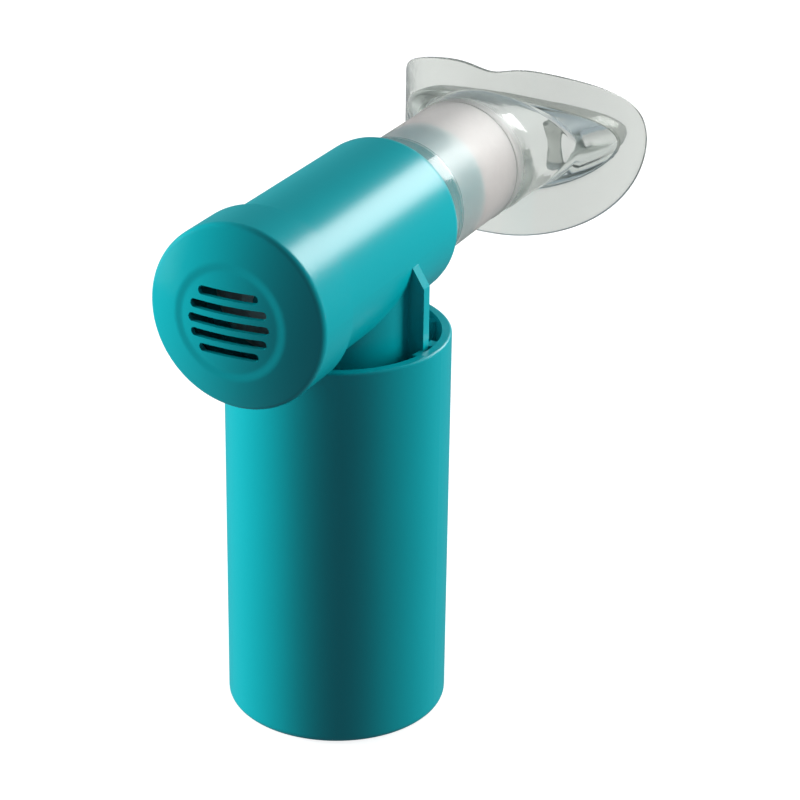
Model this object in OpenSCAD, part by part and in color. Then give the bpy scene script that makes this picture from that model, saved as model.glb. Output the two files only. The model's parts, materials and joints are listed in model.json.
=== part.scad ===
// Hand-held breathing trainer: a threshold load valve in a T-shaped head,
// which stands in a pull-off handle cover.
// Frame: origin at the centre of the handle's flat base, Z up, Y along the head towards the mouthpiece.

/* [Handle cover] */
// Outer radius of the handle cover
cover_r = 24; // [23:0.1:30]
// Height of the handle cover from its base to its rim
cover_h = 87.3; // [84:0.1:110]
// Wall of the handle cover
cover_wall = 2.1; // [1.6:0.1:2.6]
// Floor of the handle cover
cover_floor = 2.4; // [1.6:0.1:3.2]
// Round of the cover's bottom edge
cover_foot_round = 1.6; // [0.6:0.1:2]
// Round of the cover's rim
cover_rim_round = 0.6; // [0.3:0.1:0.8]
// Gap between the stem and the two key pads inside the rim
key_pad_gap = 2.8; // [2.6:0.05:4]
// Width of each key pad
key_pad_w = 8.6; // [6:0.1:12]
// Length of the key pads down from the rim
key_pad_len = 34; // [20:1:45]
// Thickness of the four guide ribs
guide_rib_t = 1; // [0.6:0.1:1.6]
// Width of each guide rib
guide_rib_w = 2.2; // [1.4:0.1:4]
// Length of the guide ribs down from the rim
guide_rib_len = 52; // [30:1:60]
// Angle of the guide ribs from the keys
guide_rib_angle = 47; // [35:1:60]

/* [Head shell] */
// Outer radius of the barrel
barrel_r = 17.8; // [17.6:0.1:20]
// Wall of the barrel
barrel_wall = 2; // [1.6:0.1:2.2]
// Reach of the barrel in front of the handle axis
barrel_front = 35.2; // [33:0.1:50]
// Reach of the barrel behind the handle axis
barrel_rear = 22.6; // [21.5:0.1:40]
// Round of the barrel's rear edge
barrel_rear_round = 3; // [1:0.1:3.6]
// End wall of the barrel round the spigot
barrel_end_wall = 2.4; // [1.8:0.1:3]
// Inset of the stem's side from the barrel's side
stem_inset = 0.7; // [0.5:0.1:1.4]
// Wall of the stem
stem_wall = 2; // [1.6:0.1:2.2]
// Depth of the stem inside the handle cover
stem_depth = 17.3; // [14:0.1:20]
// Thickness of the two key fins
fin_t = 2.7; // [1.4:0.1:3.2]
// Gap between the key fins' outer edge and the cover's wall
fin_edge_gap = 1.4; // [0.8:0.1:1.6]
// Height of the fins' square part above the cover's rim
fin_rise = 12.9; // [8:0.1:14]
// Height of the fins' sloping top above their square part
fin_slope_h = 5.1; // [3:0.1:5.6]
// Inset of the slope's top from the barrel's side
fin_slope_inset = 0.5; // [0.3:0.1:0.7]

/* [Mouthpiece spigot] */
// Wall of the mouthpiece tube where it grips the spigot
grip_wall = 1.05; // [0.8:0.05:1.3]
// Wall of the spigot
spigot_wall = 1.9; // [1.4:0.1:2.4]
// Length of the spigot behind the barrel
spigot_len = 20.4; // [14:0.1:26]
// Thickness of the spigot's inner flange
spigot_flange_t = 2.2; // [1.4:0.1:3]

/* [Exhale cap] */
// Step of the exhale cap's side out from the barrel's side
cap_step = 1.6; // [1.4:0.1:3]
// Length of the cap's straight side
cap_side_len = 11; // [9:0.1:14]
// Rise of the cap's dome
cap_dome_h = 5.5; // [3.5:0.1:7]
// Round of the corner between the cap's side and its dome
cap_corner_round = 1.6; // [0.8:0.1:2.4]
// Radius of the dish's floor round the slots
cap_face_r = 10.2; // [9.9:0.1:11]
// Wall of the cap
cap_wall = 1.8; // [1.4:0.1:2.2]
// Overlap of the cap's skirt on the barrel
cap_overlap = 4.4; // [3:0.1:6]
// Pitch of the five air slots
slot_pitch = 3; // [2.6:0.1:3.4]
// Width of each air slot
slot_w = 1.8; // [1.2:0.1:2]
// Radius of the round field that the slots fill
slot_field_r = 8.9; // [8.5:0.1:9.6]
// Number of air slots
slot_count = 5; // [3:2:5]
// Depth of the shallow dish round the slots
dish_depth = 0.35; // [0.2:0.05:0.6]
// Width of the soft slope round the dish's floor
dish_slope_w = 2.4; // [1.6:0.1:3]
// Wall of the cap between its slots
grille_wall = 1; // [0.8:0.1:1.3]

/* [Exhale valve] */
// Recess of the exhale valve seat inside the barrel's mouth
exhale_recess = 6.2; // [4:0.1:8]
// Thickness of the exhale valve seat
exhale_seat_t = 2.5; // [1.8:0.1:3]
// Gap round the exhale valve disc inside the barrel's bore
exhale_disc_gap = 3.8; // [3:0.1:4.5]
// Thickness of the exhale valve disc
exhale_disc_t = 1; // [0.7:0.1:1.4]
// Lift of the exhale valve disc
exhale_lift = 1.5; // [1:0.1:2]
// Radius of the exhale valve's guide pin
exhale_pin_r = 1.5; // [1.2:0.1:2]

/* [Inlet valve] */
// Thickness of the inlet valve seat
inlet_seat_t = 2.5; // [2:0.1:3.2]
// Gap round the inlet poppet inside the stem's bore
poppet_gap = 2.5; // [2.1:0.1:2.9]
// Thickness of the inlet poppet's plate
poppet_t = 2; // [1.4:0.1:2.6]
// Lift of the inlet poppet
inlet_lift = 4; // [2:0.5:4.5]
// Height of a valve seat's raised sealing lip
seat_lip_h = 0.6; // [0.3:0.1:0.9]

/* [Load adjuster] */
// Radius of the threaded spindle
spindle_r = 2.5; // [2:0.1:2.8]
// Travel of the load pointer over its whole scale
load_travel = 14; // [8:0.5:14.5]
// Mean radius of the load spring
spring_mean_r = 5.8; // [5.4:0.1:6]
// Wire diameter of the load spring
spring_wire = 1.2; // [0.9:0.1:1.2]
// Turns of the load spring
spring_turns = 10; // [7:1:10]
// Width of the two pointer slots in the spring housing
pointer_slot_w = 5; // [4:0.1:6]
// Width of the four air windows in the spring housing
air_window_w = 10; // [7:0.5:11]
// Inset of the load knob's side from the stem's side
knob_inset = 1.3; // [0.6:0.1:3]
// Height of the load knob's grip
knob_h = 14; // [10:0.5:15]
// Gap between the load knob and the cover's floor
knob_floor_gap = 4.6; // [2:0.1:6]
// Number of grip grooves round the load knob
knob_grooves = 24; // [12:2:30]

/* [Mouthpiece] */
// Outer radius of the mouthpiece tube
tube_r = 14.4; // [14.2:0.1:16]
// Distance from the barrel's rear to the tube's far end
tube_len = 37.4; // [30:0.1:45]
// Distance from the barrel's rear to the far end of the tube's cuff
cuff_len = 7.2; // [5:0.1:10]
// Height of the cuff over the tube
cuff_h = 0.6; // [0.4:0.1:0.9]
// Wall of the tube beyond the spigot
tube_wall = 2.2; // [1.6:0.1:2.6]
// Distance from the tube's far end to the bite shield's middle
shield_stand_off = 16.1; // [14:0.1:22]
// Bend radius of the bite shield
shield_bend_r = 28.2; // [27:0.1:36]
// Half width of the bite shield, measured along its bend
shield_half_w = 40; // [38:0.1:42]
// Height of the bite shield above the tube's top
shield_up_margin = 5.6; // [5:0.1:9]
// Depth of the bite shield below the tube's bottom
shield_down_margin = 6.7; // [5:0.1:10]
// Thickness of the bite shield
shield_t = 1.3; // [1:0.1:1.8]
// Drop of the shield's middle below the tube's axis
shield_drop = 1.1; // [0:0.1:2]
// Depth of the notch at the shield's top
notch_depth = 2; // [1:0.1:3]
// Half width of the notch at the shield's top
notch_half_w = 6.2; // [2:0.1:8]
// Height of the mouth rim behind the shield at its middle
rim_h = 7; // [5:0.1:8]
// Further height of the mouth rim at its two ends
rim_end_h = 5; // [2:0.1:6]
// Half width of the mouth rim
rim_half_w = 25.2; // [23.5:0.1:26]
// Inset of the mouth rim in height from the tube's bore
rim_squeeze = 1.9; // [1.4:0.1:2.4]
// Half width of the neck's root, along the shield's bend
neck_half_w = 21.5; // [20:0.1:22.5]
// Inset of the neck's root in height from the tube
neck_squeeze = 3.4; // [3:0.1:4]
// Radius of each bite post
bite_post_r = 2.6; // [2:0.1:3]
// Distance of the bite posts' middles outside the tube's bore
bite_post_offset = 0.6; // [0:0.1:1.2]

/* [Hidden] */
$fn = 96;

// Fits and overruns
cut_over = 0.5;          // overrun of every cut past the face that it opens
rest_gap = 0.3;          // gap between pieces that only rest beside each other
fit_gap = 0.05;          // radial clearance of a fit or a guide
fuse = 0.4;              // depth by which shapes of one solid sink into each other
arc_steps = 7;           // straight steps in each rounded edge

// Colours
teal = "#00a3ac";
deep_teal = "#0a8d97";
off_white = "#e9ebe6";
pale_grey = "#c9cecf";
charcoal = "#3a4247";
steel = "#b9bec4";
brass = "#c9a24a";
orange = "#d8612c";
clear_silicone = "#dfe6e4";
white_silicone = "#f4f4f0";

// Radii and heights of the cover and the head shell
stem_r = barrel_r - stem_inset;
axis_h = cover_h + rest_gap + barrel_r;
cover_in_r = cover_r - cover_wall;
barrel_in_r = barrel_r - barrel_wall;
stem_in_r = stem_r - stem_wall;
stem_low = cover_h - stem_depth;
fin_reach = cover_in_r - fin_edge_gap;
fin_slope_reach = barrel_r - fin_slope_inset;

// Exhale end, measured forward from the handle axis
cap_r = barrel_r + cap_step;
exhale_disc_r = barrel_in_r - exhale_disc_gap;
cap_back = barrel_front - cap_overlap;
cap_shoulder_gap = 0.8;
cap_shoulder = barrel_front + cap_shoulder_gap;
cap_face = cap_back + cap_side_len + cap_dome_h;
cap_in_r = cap_r - 2 * cap_wall;
cap_edge_round = 0.3;
grille_margin = 0.6;
dish_steps = 8;
exhale_seat_face = barrel_front - exhale_recess;
exhale_disc_back = exhale_seat_face + seat_lip_h;
exhale_stop = exhale_disc_back + exhale_disc_t + exhale_lift + rest_gap;
retainer_r = 4;
retainer_t = 1.2;
exhale_port_inset = 2.6;
exhale_port_r = exhale_disc_r - exhale_port_inset;
exhale_hub_r = 3.4;
spoke_w = 2.2;

// Inlet seat, clamped between the stem's ledge and the spring housing's collar
collar_len = 8;
gasket_t = 0.5;
ledge_t = 1.5;
ledge_reach = 1.4;
housing_flange_t = 1.5;
collar_in_r = stem_in_r - stem_wall;
seat_low = stem_low + collar_len;
seat_top = seat_low + inlet_seat_t;
ledge_low = seat_top + gasket_t;
poppet_r = stem_in_r - poppet_gap;
seat_port_inset = 1.9;
seat_port_r = poppet_r - seat_port_inset;
seat_hub_share = 0.69;
seal_t = 1;
seal_low = seat_top + seat_lip_h;
poppet_low = seal_low + seal_t;
poppet_hub_r = 5;
poppet_hub_h = 2;
nut_h = 2.2;
nut_r = 4.2;
nut_low = poppet_low + poppet_t + poppet_hub_h;
spindle_top = nut_low + nut_h + 0.6 * spindle_r;

// Load adjuster, from the cover's floor up to the seat
washer_t = 1;
spring_top = seat_low - washer_t;
knob_low = cover_floor + knob_floor_gap;
knob_top = knob_low + knob_h;
housing_foot = 2;
housing_low = knob_top + load_travel + inlet_lift + 2 * rest_gap;
slot_low = housing_low + housing_foot;
pointer_t = 2.5;
pointer_low = slot_low + rest_gap;
pointer_top = pointer_low + pointer_t;
spring_len = spring_top - pointer_top;
pointer_cup_h = 3.2;
pointer_tip_r = stem_r + 1;
thrust_t = 0.5;
hub_top = pointer_low - thrust_t;
slot_high = pointer_top + load_travel + inlet_lift + rest_gap;
housing_top = stem_low - housing_flange_t;
knob_r = stem_r - knob_inset;
knob_wall = 2;
knob_hub_r = 7;
insert_r = 5;
insert_len = 11;
clip_t = 1.5;
clip_r = 4.8;
clip_top = knob_top - knob_wall - rest_gap;
spindle_low = clip_top - clip_t - 0.5 * spindle_r;
groove_r = 1.1;
window_low = slot_low + 1.2 * pointer_t;
window_top_bar = 2.8;
window_high = housing_top - window_top_bar;
scale_t = 0.35;
scale_w = 4.6;
scale_angle = 17.5;

// Mouthpiece, measured behind the handle axis
spigot_r = tube_r - grip_wall;
tube_near = barrel_rear + rest_gap;
tube_far = barrel_rear + tube_len;
cuff_r = tube_r + cuff_h;
cuff_far = barrel_rear + cuff_len;
spigot_end = barrel_rear + spigot_len;
tube_bore_r = tube_r - tube_wall;
shield_y = tube_far + shield_stand_off;
shield_flat = 3.3;
shield_up = tube_r + shield_up_margin;
shield_down = tube_r + shield_down_margin;
rim_half_h = tube_bore_r - rim_squeeze;
bite_post_x = tube_bore_r + bite_post_offset;

// Prints the least gap between neighbouring turns of the load spring, measured on its swept points
module print_spring_gap(points, per_turn, sides) {
    rings = len(points) / sides;
    gaps = [for (i = [0:rings - per_turn - 1]) for (a = [0:sides - 1]) for (b = [0:sides - 1])
            norm(points[i * sides + a] - points[(i + per_turn) * sides + b])];
    echo(str("least gap of the load spring to itself, mm: ", min(gaps)));
}

// A round bar between two heights
module bar(r, low, high) {
    translate([0, 0, low])
        cylinder(r = r, h = high - low);
}

// A round tube between two heights
module ring(r_out, r_in, low, high) {
    difference() {
        bar(r_out, low, high);
        bar(r_in, low - cut_over, high + cut_over);
    }
}

// Turns a shape made along +Z so that it runs along the barrel, towards +Y
module along_barrel() {
    translate([0, 0, axis_h])
        rotate([-90, 0, 0])
            children();
}

// Turns a shape made along +Z so that it runs forward along the barrel, towards -Y
module along_front() {
    translate([0, 0, axis_h])
        rotate([90, 0, 0])
            children();
}

// A share from 0 to 1 that eases in and out
function eased(share) = (1 - cos(180 * share)) / 2;

// Points of an arc about a centre
function arc(cx, cy, rx, ry, from, to, steps) =
    [for (i = [0:steps]) let (t = from + (to - from) * i / steps) [cx + rx * cos(t), cy + ry * sin(t)]];

// The cylindrical grip, closed at the bottom, with key pads and guide ribs inside its rim
module handle_cover() {
    color(teal)
        union() {
            difference() {
                rotate_extrude()
                    polygon(concat(
                        [[0, 0]],
                        arc(cover_r - cover_foot_round, cover_foot_round, cover_foot_round, cover_foot_round,
                            -90, 0, arc_steps),
                        arc(cover_r - cover_rim_round, cover_h - cover_rim_round, cover_rim_round,
                            cover_rim_round, 0, 90, arc_steps),
                        [[0, cover_h]]));
                translate([0, 0, cover_floor])
                    cylinder(r = cover_in_r, h = cover_h);
            }
            for (turn = [0, 180])
                rotate([0, 0, turn])
                    key_pad();
            for (side = [guide_rib_angle, 180 - guide_rib_angle])
                for (turn = [side, -side])
                    rotate([0, 0, turn])
                        guide_rib();
        }
}

// Thick pad inside the rim with the groove that a fin slides in
module key_pad() {
    groove_w = fin_t + 4 * fit_gap + rest_gap;
    difference() {
        intersection() {
            ring(cover_in_r + fuse, stem_r + key_pad_gap, cover_h - key_pad_len, cover_h - cover_rim_round);
            translate([0, -key_pad_w / 2, 0])
                cube([cover_r, key_pad_w, cover_h]);
        }
        translate([0, -groove_w / 2, 0])
            cube([cover_in_r, groove_w, cover_h]);
    }
}

// Thin rib inside the wall that steadies the head
module guide_rib() {
    intersection() {
        ring(cover_in_r + fuse, cover_in_r - guide_rib_t, cover_h - guide_rib_len,
             cover_h - 2 * cover_rim_round);
        translate([0, -guide_rib_w / 2, 0])
            cube([cover_r, guide_rib_w, cover_h]);
    }
}

// Barrel, stem and key fins in one moulding
module head_shell() {
    barrel_len = barrel_front + barrel_rear;
    color(teal)
        difference() {
            union() {
                translate([0, -barrel_front, 0])
                    along_barrel()
                        rotate_extrude()
                            polygon(concat(
                                [[0, 0], [barrel_r, 0]],
                                arc(barrel_r - barrel_rear_round, barrel_len - barrel_rear_round,
                                    barrel_rear_round, barrel_rear_round, 0, 90, arc_steps),
                                [[0, barrel_len]]));
                translate([0, 0, stem_low])
                    cylinder(r = stem_r, h = axis_h - stem_low);
                for (turn = [0, 180])
                    rotate([0, 0, turn])
                        key_fin();
            }
            translate([0, -barrel_front - cut_over, 0])
                along_barrel()
                    cylinder(r = barrel_in_r, h = barrel_len - barrel_end_wall + cut_over);
            along_barrel()
                cylinder(r = spigot_r + fit_gap, h = barrel_rear + cut_over);
            translate([0, 0, stem_low - cut_over])
                cylinder(r = stem_in_r, h = ledge_low - stem_low + cut_over);
            translate([0, 0, stem_low])
                cylinder(r = stem_in_r - ledge_reach, h = axis_h - stem_low);
            translate([0, 0, ledge_low + ledge_t])
                cylinder(r = stem_in_r, h = axis_h - ledge_low - ledge_t);
        }
}

// Upright fin with a sloping top, which keys the cover against turning
module key_fin() {
    root_x = stem_r - stem_wall / 2;
    fin_top = cover_h + fin_rise;
    translate([0, fin_t / 2, 0])
        rotate([90, 0, 0])
            linear_extrude(fin_t)
                polygon([[root_x, stem_low], [fin_reach, stem_low], [fin_reach, fin_top],
                         [fin_slope_reach, fin_top + fin_slope_h], [root_x, fin_top + fin_slope_h]]);
}

// Tube that the mouthpiece is pushed on, held from inside by its flange
module mouthpiece_spigot() {
    flange_back = barrel_rear - barrel_end_wall;
    flange_front = flange_back - spigot_flange_t;
    end_round = spigot_wall / 3;
    color(deep_teal)
        along_barrel()
            rotate_extrude()
                polygon(concat(
                    [[spigot_r - spigot_wall, flange_front], [barrel_in_r - fit_gap, flange_front],
                     [barrel_in_r - fit_gap, flange_back], [spigot_r, flange_back]],
                    arc(spigot_r - end_round, spigot_end - end_round, end_round, end_round, 0, 90, arc_steps),
                    [[spigot_r - spigot_wall, spigot_end]]));
}

// Round plate with ports between four spokes, a hub and a raised sealing lip
module valve_plate(r_out, r_port, r_hub, thick) {
    difference() {
        union() {
            cylinder(r = r_out, h = thick);
            ring(r_port + seat_lip_h + spoke_w / 4, r_port, 0, thick + seat_lip_h);
        }
        difference() {
            ring(r_port, r_hub, -cut_over, thick + 2 * cut_over);
            for (turn = [0, 90])
                rotate([0, 0, turn])
                    translate([-r_out, -spoke_w / 2, -2 * cut_over])
                        cube([2 * r_out, spoke_w, thick + 2 * cut_over]);
        }
    }
}

// Plate inside the mouth of the barrel that the exhale disc seals on, with the disc's guide pin
module exhale_valve_seat() {
    seat_back = exhale_seat_face - exhale_seat_t;
    color(deep_teal)
        translate([0, -seat_back, 0])
            along_front() {
                valve_plate(barrel_in_r - fit_gap, exhale_port_r, exhale_hub_r, exhale_seat_t);
                cylinder(r = exhale_pin_r, h = exhale_stop + retainer_t - seat_back);
            }
}

// Silicone disc that lifts when the user breathes out
module exhale_valve_disc() {
    color(white_silicone)
        along_front()
            ring(exhale_disc_r, exhale_pin_r + fit_gap, exhale_disc_back, exhale_disc_back + exhale_disc_t);
}

// Push-on button that keeps the disc on its pin
module exhale_disc_retainer() {
    color(off_white)
        along_front()
            ring(retainer_r, exhale_pin_r + fit_gap / 2, exhale_stop, exhale_stop + retainer_t);
}

// Flat ring between the barrel's mouth and the cap's shoulder
module exhale_cap_seal() {
    color(charcoal)
        along_front()
            ring(barrel_r - 2 * fit_gap, barrel_in_r + 4 * fit_gap, barrel_front, cap_shoulder);
}

// Shallow dome with a rounded corner, and a dish that follows the dome round the five slots.
// The dish's edge eases in and out, and the wall is thinner between the slots.
module exhale_cap() {
    side_end = cap_back + cap_side_len;
    corner_r = cap_r - cap_corner_round;
    dome_r = (pow(corner_r, 2) + pow(cap_dome_h, 2) - pow(cap_corner_round, 2))
             / (2 * (cap_dome_h - cap_corner_round));
    dome_centre = cap_face - dome_r;
    floor_r = dome_r - dish_depth;
    inner_r = floor_r - cap_wall;
    grille_r = slot_field_r + grille_margin;
    grille_in_r = floor_r - grille_wall;
    dish_edge_r = cap_face_r + dish_slope_w;
    corner_turn = acos(corner_r / (dome_r - cap_corner_round));
    color(teal)
        along_front()
            difference() {
                rotate_extrude()
                    polygon(concat(
                        [[0, cap_back], [cap_r - cap_edge_round, cap_back]],
                        [[cap_r, cap_back + cap_edge_round]],
                        arc(corner_r, side_end, cap_corner_round, cap_corner_round, 0, corner_turn,
                            arc_steps),
                        arc(0, dome_centre, dome_r, dome_r, corner_turn, acos(dish_edge_r / dome_r),
                            3 * arc_steps),
                        [for (k = [1:dish_steps - 1])
                            let (share = k / dish_steps, sunk = dish_depth * eased(share),
                                 r = dish_edge_r - dish_slope_w * share)
                            [r, dome_centre + sqrt(pow(dome_r - sunk, 2) - pow(r, 2))]],
                        arc(0, dome_centre, floor_r, floor_r, acos(cap_face_r / floor_r), 90,
                            3 * arc_steps)));
                translate([0, 0, cap_back - cut_over])
                    cylinder(r = barrel_r + 2 * fit_gap, h = cap_shoulder - cap_back + cut_over);
                rotate_extrude()
                    polygon(concat(
                        [[0, cap_back], [cap_in_r, cap_back]],
                        arc(0, dome_centre, inner_r, inner_r, acos(cap_in_r / inner_r),
                            acos(grille_r / inner_r), arc_steps),
                        arc(0, dome_centre, grille_in_r, grille_in_r, acos(grille_r / grille_in_r), 90,
                            2 * arc_steps)));
                for (i = [0:slot_count - 1])
                    air_slot((i - (slot_count - 1) / 2) * slot_pitch);
            }
}

// One air slot with round ends, cut right through the cap's face
module air_slot(offset_z) {
    half = sqrt(pow(slot_field_r, 2) - pow(offset_z, 2)) - slot_w / 2;
    cut_len = cap_dome_h + cap_wall + cut_over;
    translate([0, offset_z, cap_face - cap_dome_h - cap_wall]) {
        for (side = [-1, 1])
            translate([side * half, 0, 0])
                cylinder(r = slot_w / 2, h = cut_len);
        translate([-half, -slot_w / 2, 0])
            cube([2 * half, slot_w, cut_len]);
    }
}

// Flat ring between the stem's ledge and the inlet seat
module inlet_seat_gasket() {
    color(charcoal)
        ring(stem_in_r - fit_gap, stem_in_r - ledge_reach + fit_gap, seat_top, ledge_low);
}

// Plate that the inlet poppet seals on, with the spindle's guide in its hub
module inlet_valve_seat() {
    color(off_white)
        difference() {
            translate([0, 0, seat_low])
                valve_plate(stem_in_r - fit_gap, seat_port_r, seat_hub_share * seat_port_r, inlet_seat_t);
            translate([0, 0, seat_low - cut_over])
                cylinder(r = spindle_r + fit_gap, h = inlet_seat_t + 2 * cut_over);
        }
}

// Plate that lifts off the inlet seat once the user pulls harder than the load
module inlet_poppet() {
    color(off_white)
        union() {
            ring(poppet_r, spindle_r + fit_gap, poppet_low, poppet_low + poppet_t);
            ring(poppet_hub_r, spindle_r + fit_gap, poppet_low, nut_low);
        }
}

// Silicone washer under the poppet
module poppet_seal() {
    color(white_silicone)
        ring(poppet_r - 2 * fit_gap, spindle_r + fit_gap, seal_low, poppet_low);
}

// Threaded rod that ties the poppet to the load spring
module load_spindle() {
    color(steel)
        bar(spindle_r, spindle_low, spindle_top);
}

// Nut that holds the poppet on the spindle
module spindle_nut() {
    color(steel)
        difference() {
            translate([0, 0, nut_low])
                cylinder(r = nut_r, h = nut_h, $fn = 6);
            translate([0, 0, nut_low - cut_over])
                cylinder(r = spindle_r + fit_gap, h = nut_h + 2 * cut_over);
        }
}

// Clip that stops the knob at the spindle's lower end
module spindle_end_clip() {
    color(steel)
        difference() {
            ring(clip_r, spindle_r + fit_gap, clip_top - clip_t, clip_top);
            translate([0, -spindle_r / 2, clip_top - clip_t - cut_over])
                cube([clip_r + cut_over, spindle_r, clip_t + 2 * cut_over]);
        }
}

// Slotted tube under the stem that holds the spring and guides the pointer
module spring_housing() {
    color(pale_grey)
        difference() {
            union() {
                ring(stem_in_r - fit_gap, collar_in_r, housing_top, seat_low);
                ring(stem_r, collar_in_r, housing_top, stem_low);
                ring(stem_r, stem_in_r, housing_low, stem_low);
            }
            translate([-pointer_slot_w / 2, -stem_r - cut_over, slot_low])
                cube([pointer_slot_w, 2 * (stem_r + cut_over), slot_high - slot_low]);
            for (turn = [45, 135])
                rotate([0, 0, turn])
                    translate([-air_window_w / 2, -stem_r - cut_over, window_low])
                        cube([air_window_w, 2 * (stem_r + cut_over), window_high - window_low]);
        }
}

// Curved strip beside the front pointer slot that carries the load scale
module load_scale() {
    color(off_white)
        rotate([0, 0, scale_angle])
            intersection() {
                ring(stem_r + scale_t, stem_r, slot_low, slot_high);
                translate([-scale_w / 2, -stem_r - 2 * scale_t, slot_low])
                    cube([scale_w, stem_wall, slot_high - slot_low]);
            }
}

// Washer between the inlet seat and the load spring
module spring_top_washer() {
    color(steel)
        ring(spring_mean_r + spring_wire, spindle_r + rest_gap, spring_top, seat_low);
}

// Helical compression spring, one unbroken tube whose end turns lie close
module load_spring() {
    per_turn = 8;
    sides = 6;
    close_turns = 1;
    steps = per_turn * spring_turns;
    wire_r = spring_wire / 2;
    close_rise = spring_wire + 0.5 * spring_wire;
    open_rise = (spring_len - spring_wire - 2 * close_turns * close_rise) / (spring_turns - 2 * close_turns);
    function rise(turns) =
        turns <= close_turns ? turns * close_rise
        : turns >= spring_turns - close_turns
            ? spring_len - spring_wire - (spring_turns - turns) * close_rise
            : close_turns * close_rise + (turns - close_turns) * open_rise;
    points = [for (i = [0:steps]) for (j = [0:sides - 1])
        let (turns = i / per_turn, spin = 360 * turns, around = 360 * j / sides,
             reach = spring_mean_r + wire_r * cos(around))
        [reach * cos(spin), reach * sin(spin), pointer_top + wire_r + rise(turns) + wire_r * sin(around)]];
    faces = concat(
        [[for (j = [0:sides - 1]) j]],
        [for (i = [0:steps - 1]) for (j = [0:sides - 1])
            [i * sides + j, (i + 1) * sides + j, (i + 1) * sides + (j + 1) % sides]],
        [for (i = [0:steps - 1]) for (j = [0:sides - 1])
            [i * sides + j, (i + 1) * sides + (j + 1) % sides, i * sides + (j + 1) % sides]],
        [[for (j = [sides - 1:-1:0]) steps * sides + j]]);
    print_spring_gap(points, per_turn, sides);
    color(steel)
        polyhedron(points, faces, convexity = 10);
}

// Spring cup that climbs the housing's slots and points at the scale
module load_pointer() {
    arm_w = pointer_slot_w - 2 * rest_gap;
    cup_r = spring_mean_r + spring_wire / 2 + rest_gap;
    disc_r = stem_in_r - 4 * fit_gap - arm_w / 2;
    tip = arm_w / 3;
    color(orange)
        difference() {
            union() {
                bar(disc_r, pointer_low, pointer_top);
                ring(cup_r + pointer_t / 2, cup_r, pointer_top, pointer_top + pointer_cup_h);
                translate([0, 0, pointer_low])
                    linear_extrude(pointer_t)
                        polygon([[-arm_w / 2, -pointer_tip_r + tip], [0, -pointer_tip_r],
                                 [arm_w / 2, -pointer_tip_r + tip], [arm_w / 2, pointer_tip_r - tip],
                                 [0, pointer_tip_r], [-arm_w / 2, pointer_tip_r - tip]]);
            }
            translate([0, 0, pointer_low - cut_over])
                cylinder(r = spindle_r + rest_gap, h = pointer_t + 2 * cut_over);
        }
}

// Washer that the knob turns against
module thrust_washer() {
    color(steel)
        ring(knob_hub_r - rest_gap, spindle_r + rest_gap, hub_top, pointer_low);
}

// Knob that is turned to set the load, a ribbed bell with a long hub
module load_knob() {
    color(charcoal)
        difference() {
            union() {
                bar(knob_r, knob_low, knob_top);
                bar(knob_hub_r, knob_low + knob_wall, hub_top);
            }
            bar(knob_r - knob_wall, knob_low - cut_over, knob_top - knob_wall);
            bar(spindle_r + rest_gap, knob_low, hub_top + cut_over);
            bar(insert_r + fit_gap / 2, hub_top - insert_len, hub_top + cut_over);
            for (i = [0:knob_grooves - 1])
                rotate([0, 0, 360 * i / knob_grooves])
                    translate([knob_r + groove_r / 2, 0, knob_low - cut_over])
                        cylinder(r = groove_r, h = knob_h - knob_wall + cut_over, $fn = 24);
        }
}

// Brass insert in the knob's hub that runs on the spindle's thread
module knob_thread_insert() {
    color(brass)
        ring(insert_r, spindle_r + fit_gap, hub_top - insert_len, hub_top);
}

// Clear tube that is pushed over the spigot, with a thicker cuff at its near end
module mouthpiece_tube() {
    cuff_round = cuff_h / 2;
    color(clear_silicone, 0.5)
        along_barrel()
            rotate_extrude()
                polygon([
                    [spigot_r + fit_gap, tube_near], [cuff_r - cuff_round, tube_near],
                    [cuff_r, tube_near + cuff_round], [cuff_r, cuff_far - cuff_round],
                    [cuff_r - cuff_round, cuff_far], [tube_r, cuff_far],
                    [tube_r, tube_far], [tube_bore_r, tube_far],
                    [tube_bore_r, spigot_end + rest_gap], [spigot_r + fit_gap, spigot_end + rest_gap]]);
}

// Mouthpiece outlines: the neck's root, the mouth slot and the mouth rim are ovals about the tube's axis
flange_segments = 72;
neck_half_h = tube_r - neck_squeeze;
rim_wall = 1.6;
rim_draft = 0.6;
slot_wall_w = 2.2;
slot_half_w = neck_half_w - slot_wall_w;
slot_wall_h = 1.9;
slot_half_h = neck_half_h - slot_wall_h;
shoulder_len = 6;
shoulder_y = tube_far + shoulder_len;
shoulder_spread = 1.6;
shoulder_half_w = tube_r + shoulder_spread;
shoulder_squeeze = 0.2;
shoulder_half_h = tube_r - shoulder_squeeze;
edge_inset = 0.4;

function ellipse_r(t, w, h) = 1 / sqrt(pow(cos(t) / w, 2) + pow(sin(t) / h, 2));
function polar(t, r) = [r * cos(t), r * sin(t)];
function oval(t, w, h) = [w * cos(t), h * sin(t)];

// Outline of the shield on its own sheet, with the notch at its top
function shield_r(t) =
    let (r = ellipse_r(t, shield_half_w, sin(t) > 0 ? shield_up : shield_down), u = r * cos(t))
    sin(t) > 0 ? r - notch_depth * exp(-pow(u / notch_half_w, 2)) : r;

// A point of the bent sheet: u along the bend, v up, off towards the user
function on_sheet(uv, off) =
    let (u = uv[0], side = u < 0 ? -1 : 1,
         bend = max(abs(u) - shield_flat, 0) / shield_bend_r * 180 / PI, r = shield_bend_r - off)
    [side * (min(abs(u), shield_flat) + r * sin(bend)), shield_y + off + r * (1 - cos(bend)), axis_h + uv[1]];

// The sheet's depth at a distance x from its middle, and the length along the bend there
function sheet_y(x) =
    shield_y + shield_bend_r
    - sqrt(pow(shield_bend_r, 2) - pow(min(max(abs(x) - shield_flat, 0), 0.97 * shield_bend_r), 2));

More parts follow.
